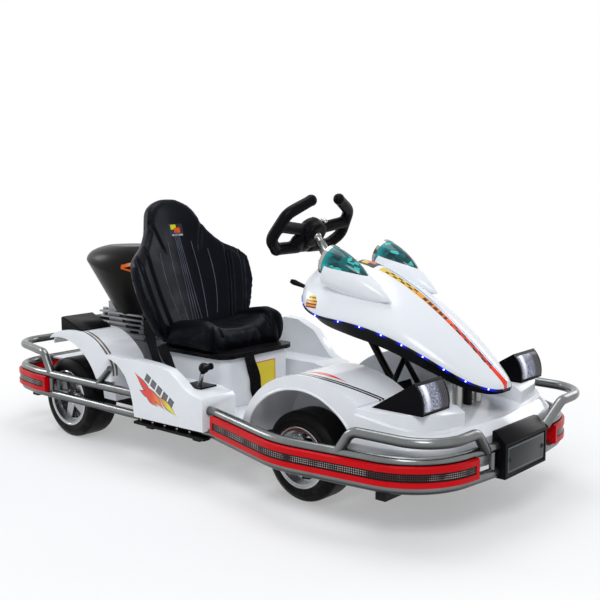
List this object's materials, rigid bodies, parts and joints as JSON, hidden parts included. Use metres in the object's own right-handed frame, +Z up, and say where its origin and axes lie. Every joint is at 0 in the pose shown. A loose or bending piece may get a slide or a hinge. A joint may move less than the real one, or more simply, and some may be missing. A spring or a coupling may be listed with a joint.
{
  "type": "electric go-kart",
  "caption": "Electric amusement go-kart with a white moulded body, silver bumper tubes, red light bars, a high-backed seat and a domed nose cone.",
  "frame": {"origin": "on the ground, at the centre of the bounding box", "axes": "+X forward, +Y to the driver's left, +Z up"},
  "size_m": [1.924, 0.8774, 0.8339],
  "materials": {
    "tube_silver": "satin",
    "sill_black": "matte",
    "bar_red": "gloss",
    "strip_smoke": "gloss",
    "body_white": "gloss",
    "trim_black": "satin",
    "lens_clear": "clear",
    "lens_teal": "clear",
    "led_blue": "lit",
    "chrome": "polished",
    "steel": "satin",
    "frame_black": "satin",
    "grip_black": "matte",
    "tyre_black": "matte",
    "rim_alloy": "satin",
    "seat_leather": "satin",
    "lid_black": "matte",
    "webbing": "matte",
    "battery_case": "matte",
    "engine_grey": "satin"
  },
  "bodies": {
    "chassis": {"front_bumper": "tube_silver", "rear_bumper": "tube_silver", "side_rails": "tube_silver", "light_bars": "bar_red", "light_strips": "strip_smoke", "plate_box": "trim_black", "front_deck": "body_white", "front_fenders": "body_white", "headlight_housings": "trim_black", "headlight_lenses": "lens_clear", "nose_cone": "body_white", "nose_led_strip": "led_blue", "nose_tray": "trim_black", "nose_lamps": "lens_teal", "nose_lamp_bezels": "chrome", "nose_posts": "chrome", "chassis_frame": "frame_black", "floor_pan": "body_white", "side_pods": "body_white", "shift_lever": "trim_black", "pedals": "frame_black", "rear_deck": "body_white", "rear_fenders": "body_white", "tail_boxes": "trim_black", "seat_box": "body_white", "seat_lid": "lid_black", "battery": "battery_case", "seat_back": "seat_leather", "seat_cushion": "seat_leather", "seat_belts": "webbing", "engine_cover": "trim_black", "mock_engine": "engine_grey", "drive_motor": "engine_grey"},
    "steering_wheel": {"steering_wheel": "grip_black"},
    "steering_column": {"steering_shaft": "chrome"},
    "rack": {"steering_rack": "steel"},
    "knuckle_right": {"knuckle_right": "steel"},
    "knuckle_left": {"knuckle_left": "steel"},
    "front_wheel_right": {"front_tyre_right": "tyre_black", "front_rim_right": "rim_alloy"},
    "front_wheel_left": {"front_tyre_left": "tyre_black", "front_rim_left": "rim_alloy"},
    "rear_axle": {"rear_axle": "steel", "rear_tyres": "tyre_black", "rear_rims": "rim_alloy"}
  },
  "joints": [
    {"name": "steering_wheel_turn", "type": "hinge", "parent": "chassis", "child": "steering_wheel", "pos_m": [0.25441, 0, 0.70826], "axis": [-0.848, 0, 0.5299], "range_deg": [-60, 60]},
    {"name": "column_turn", "type": "hinge", "parent": "chassis", "child": "steering_column", "pos_m": [0.25441, 0, 0.70826], "axis": [-0.5736, 0, 0.8191], "range_deg": [-61, 61]},
    {"name": "rack_slide", "type": "slide", "parent": "chassis", "child": "rack", "axis": [0, 1, 0], "range_m": [-0.0285, 0.0285]},
    {"name": "knuckle_right_steer", "type": "hinge", "parent": "chassis", "child": "knuckle_right", "pos_m": [0.431, -0.165, 0.127], "axis": [0, 0, 1], "range_deg": [-22.5, 22.5]},
    {"name": "knuckle_left_steer", "type": "hinge", "parent": "chassis", "child": "knuckle_left", "pos_m": [0.431, 0.165, 0.127], "axis": [0, 0, 1], "range_deg": [-22.5, 22.5]},
    {"name": "front_wheel_right_spin", "type": "hinge", "parent": "knuckle_right", "child": "front_wheel_right", "pos_m": [0.431, -0.236, 0.127], "axis": [0, 1, 0], "continuous": true},
    {"name": "front_wheel_left_spin", "type": "hinge", "parent": "knuckle_left", "child": "front_wheel_left", "pos_m": [0.431, 0.236, 0.127], "axis": [0, 1, 0], "continuous": true},
    {"name": "rear_axle_spin", "type": "hinge", "parent": "chassis", "child": "rear_axle", "pos_m": [-0.604, 0, 0.136], "axis": [0, 1, 0], "continuous": true}
  ],
  "couplings": [
    {"joint": "column_turn", "follows": "steering_wheel_turn", "ratio": 1},
    {"joint": "rack_slide", "follows": "steering_wheel_turn", "m_per_rad": 0.026834},
    {"joint": "knuckle_right_steer", "follows": "steering_wheel_turn", "ratio": 0.36667},
    {"joint": "knuckle_left_steer", "follows": "steering_wheel_turn", "ratio": 0.36667}
  ]
}
